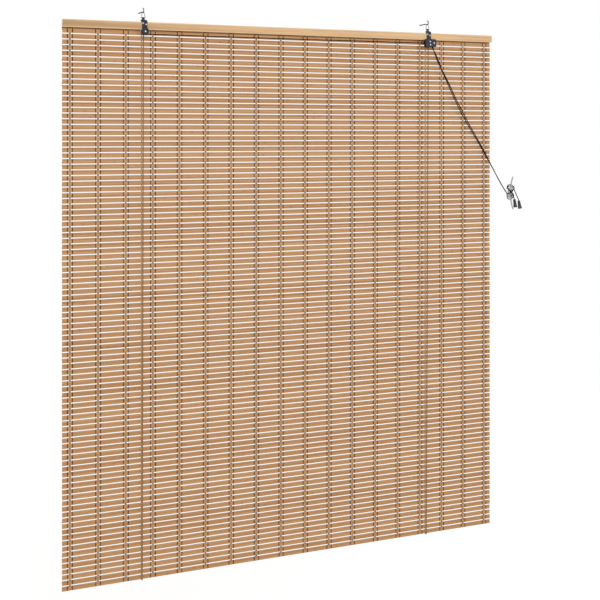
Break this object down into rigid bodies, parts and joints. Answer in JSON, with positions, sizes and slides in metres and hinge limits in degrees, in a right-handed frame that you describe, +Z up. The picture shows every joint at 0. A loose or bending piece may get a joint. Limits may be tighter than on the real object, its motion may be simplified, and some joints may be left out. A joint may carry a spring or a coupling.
{
  "type": "roll up blind",
  "caption": "Bamboo roll up blind with a wooden head rail, woven slat mat, hanging brackets, cord lock, lift cords, cleat and tassels.",
  "frame": {"origin": "on the wall, half way along the head rail, at the height of the two hook screws", "axes": "+X along the head rail to the right as seen from the front, +Y into the wall, so the front faces -Y, +Z up"},
  "size_m": [1.5097, 0.0705, 1.6435],
  "materials": {
    "rail_wood": "planed pale wood",
    "bamboo": "carbonised bamboo, satin",
    "thread": "dark brown twisted thread",
    "cord": "brown braided cord",
    "zinc": "zinc plated",
    "gunmetal": "dark grey satin",
    "bright_steel": "bright nickel plated",
    "nylon": "natural nylon",
    "tassel_black": "gloss black"
  },
  "bodies": {
    "blind": {"head_rail": "rail_wood", "slat_mat": "bamboo", "front_warp_threads": "thread", "back_warp_threads": "thread", "clamp_strips": "bamboo", "mat_staples": "zinc", "left_hook": "zinc", "right_hook": "zinc", "left_bail": "bright_steel", "right_bail": "bright_steel", "left_bracket": "gunmetal", "right_bracket": "gunmetal", "bracket_screws": "bright_steel", "left_axle": "bright_steel", "left_guide_pin": "gunmetal", "lock_rivets": "bright_steel", "cord_staples": "zinc", "rail_knots": "cord", "left_cord": "cord", "right_cord": "cord", "cleat": "zinc", "left_tassel": "tassel_black", "right_tassel": "tassel_black", "tassel_knots": "cord"},
    "left_sheave": {"left_sheave": "nylon"},
    "keeper_roller": {"keeper_roller": "nylon"},
    "cord_roller": {"cord_roller": "nylon"},
    "lock_cam": {"lock_cam": "zinc"}
  },
  "joints": [
    {"name": "cord_roller_spin", "type": "hinge", "parent": "blind", "child": "cord_roller", "pos_m": [0.4646, -0.0246, -0.0666], "axis": [0, 1, 0], "continuous": true},
    {"name": "left_sheave_spin", "type": "hinge", "parent": "blind", "child": "left_sheave", "pos_m": [-0.4667, -0.0246, -0.057], "axis": [0, 1, 0], "continuous": true},
    {"name": "keeper_roller_spin", "type": "hinge", "parent": "blind", "child": "keeper_roller", "pos_m": [0.4636, -0.0246, -0.0564], "axis": [0, 1, 0], "continuous": true},
    {"name": "cam_swing", "type": "hinge", "parent": "blind", "child": "lock_cam", "pos_m": [0.4777, -0.0246, -0.0611], "axis": [0, -1, 0], "range_deg": [0, 30]}
  ],
  "couplings": [
    {"joint": "left_sheave_spin", "follows": "cord_roller_spin", "ratio": 0.9583},
    {"joint": "keeper_roller_spin", "follows": "cord_roller_spin", "ratio": -0.8846}
  ]
}
